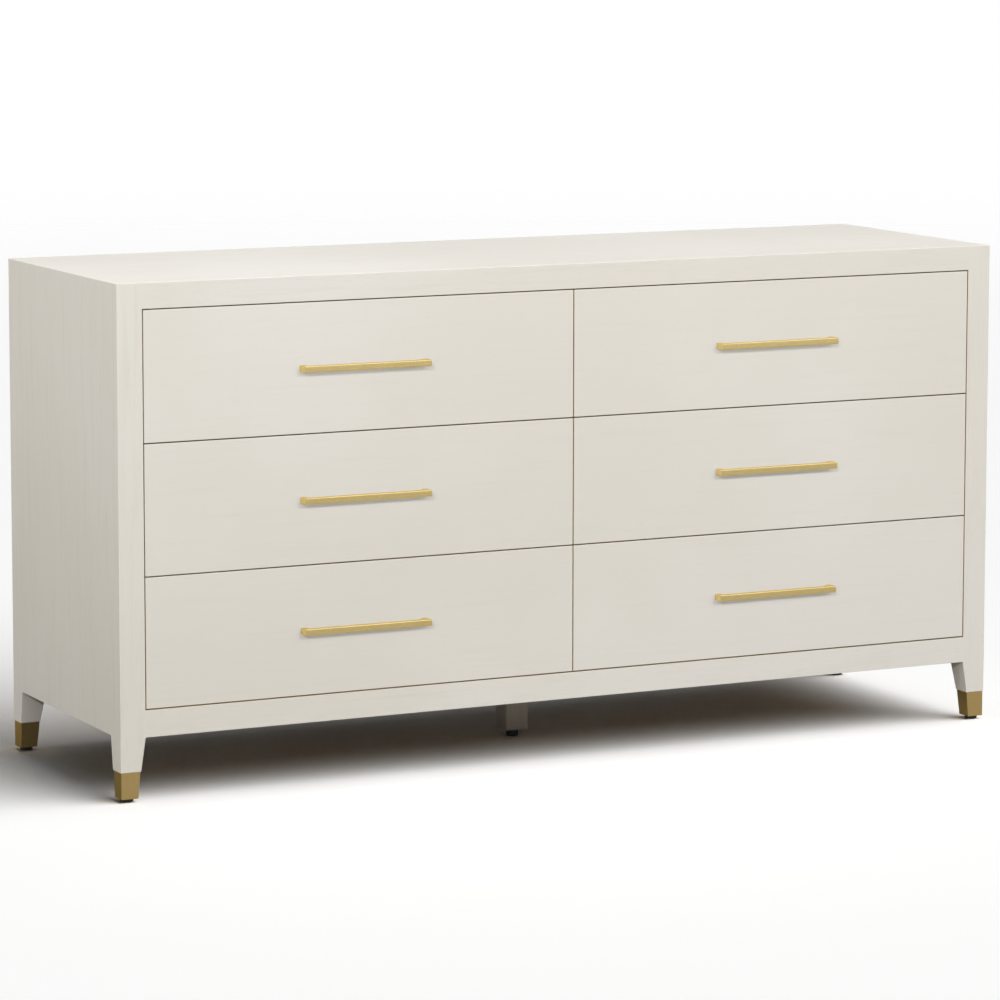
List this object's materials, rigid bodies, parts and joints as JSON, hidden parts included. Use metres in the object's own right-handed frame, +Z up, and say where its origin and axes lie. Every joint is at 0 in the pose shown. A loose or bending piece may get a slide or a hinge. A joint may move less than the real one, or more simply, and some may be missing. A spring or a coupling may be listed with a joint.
{
  "type": "dresser with drawers",
  "caption": "Long low painted dresser on tapered legs with brass caps; flush drawers on side-mounted metal slides, each with a square brass bar handle.",
  "frame": {"origin": "on the floor, under the middle of the whole object, handles included", "axes": "+X to the right seen from the front, +Y from the front towards the back, +Z up; the drawers open towards -Y"},
  "size_m": [1.6764, 0.5354, 0.8636],
  "materials": {
    "paint": "satin cream paint over open-grained wood",
    "brass": "satin",
    "nylon": "matte",
    "bare_wood": "clear matte lacquer",
    "backing": "plain board",
    "zinc": "zinc plated"
  },
  "bodies": {
    "carcass": {"top_panel": "paint", "side_frame_left": "paint", "side_frame_right": "paint", "back_panel": "backing", "base_panel": "bare_wood", "centre_divider": "bare_wood", "bottom_rail": "paint", "centre_leg": "paint", "glide_centre": "nylon", "ferrule_front_left": "brass", "glide_front_left": "nylon", "ferrule_back_left": "brass", "glide_back_left": "nylon", "ferrule_front_right": "brass", "glide_front_right": "nylon", "ferrule_back_right": "brass", "glide_back_right": "nylon", "runner_bottom_left_inner": "zinc", "runner_bottom_left_outer": "zinc", "runner_bottom_right_inner": "zinc", "runner_bottom_right_outer": "zinc", "runner_middle_left_inner": "zinc", "runner_middle_left_outer": "zinc", "runner_middle_right_inner": "zinc", "runner_middle_right_outer": "zinc", "runner_top_left_inner": "zinc", "runner_top_left_outer": "zinc", "runner_top_right_inner": "zinc", "runner_top_right_outer": "zinc"},
    "drawer_bottom_left": {"drawer_front_bottom_left": "paint", "drawer_box_bottom_left": "bare_wood", "handle_bottom_left": "brass", "slider_bottom_left_inner": "zinc", "slider_bottom_left_outer": "zinc"},
    "drawer_bottom_right": {"drawer_front_bottom_right": "paint", "drawer_box_bottom_right": "bare_wood", "handle_bottom_right": "brass", "slider_bottom_right_inner": "zinc", "slider_bottom_right_outer": "zinc"},
    "drawer_middle_left": {"drawer_front_middle_left": "paint", "drawer_box_middle_left": "bare_wood", "handle_middle_left": "brass", "slider_middle_left_inner": "zinc", "slider_middle_left_outer": "zinc"},
    "drawer_middle_right": {"drawer_front_middle_right": "paint", "drawer_box_middle_right": "bare_wood", "handle_middle_right": "brass", "slider_middle_right_inner": "zinc", "slider_middle_right_outer": "zinc"},
    "drawer_top_left": {"drawer_front_top_left": "paint", "drawer_box_top_left": "bare_wood", "handle_top_left": "brass", "slider_top_left_inner": "zinc", "slider_top_left_outer": "zinc"},
    "drawer_top_right": {"drawer_front_top_right": "paint", "drawer_box_top_right": "bare_wood", "handle_top_right": "brass", "slider_top_right_inner": "zinc", "slider_top_right_outer": "zinc"}
  },
  "joints": [
    {"name": "bottom_left_slide", "type": "slide", "parent": "carcass", "child": "drawer_bottom_left", "axis": [0, -1, 0], "range_m": [0, 0.33]},
    {"name": "bottom_right_slide", "type": "slide", "parent": "carcass", "child": "drawer_bottom_right", "axis": [0, -1, 0], "range_m": [0, 0.33]},
    {"name": "middle_left_slide", "type": "slide", "parent": "carcass", "child": "drawer_middle_left", "axis": [0, -1, 0], "range_m": [0, 0.33]},
    {"name": "middle_right_slide", "type": "slide", "parent": "carcass", "child": "drawer_middle_right", "axis": [0, -1, 0], "range_m": [0, 0.33]},
    {"name": "top_left_slide", "type": "slide", "parent": "carcass", "child": "drawer_top_left", "axis": [0, -1, 0], "range_m": [0, 0.33]},
    {"name": "top_right_slide", "type": "slide", "parent": "carcass", "child": "drawer_top_right", "axis": [0, -1, 0], "range_m": [0, 0.33]}
  ]
}
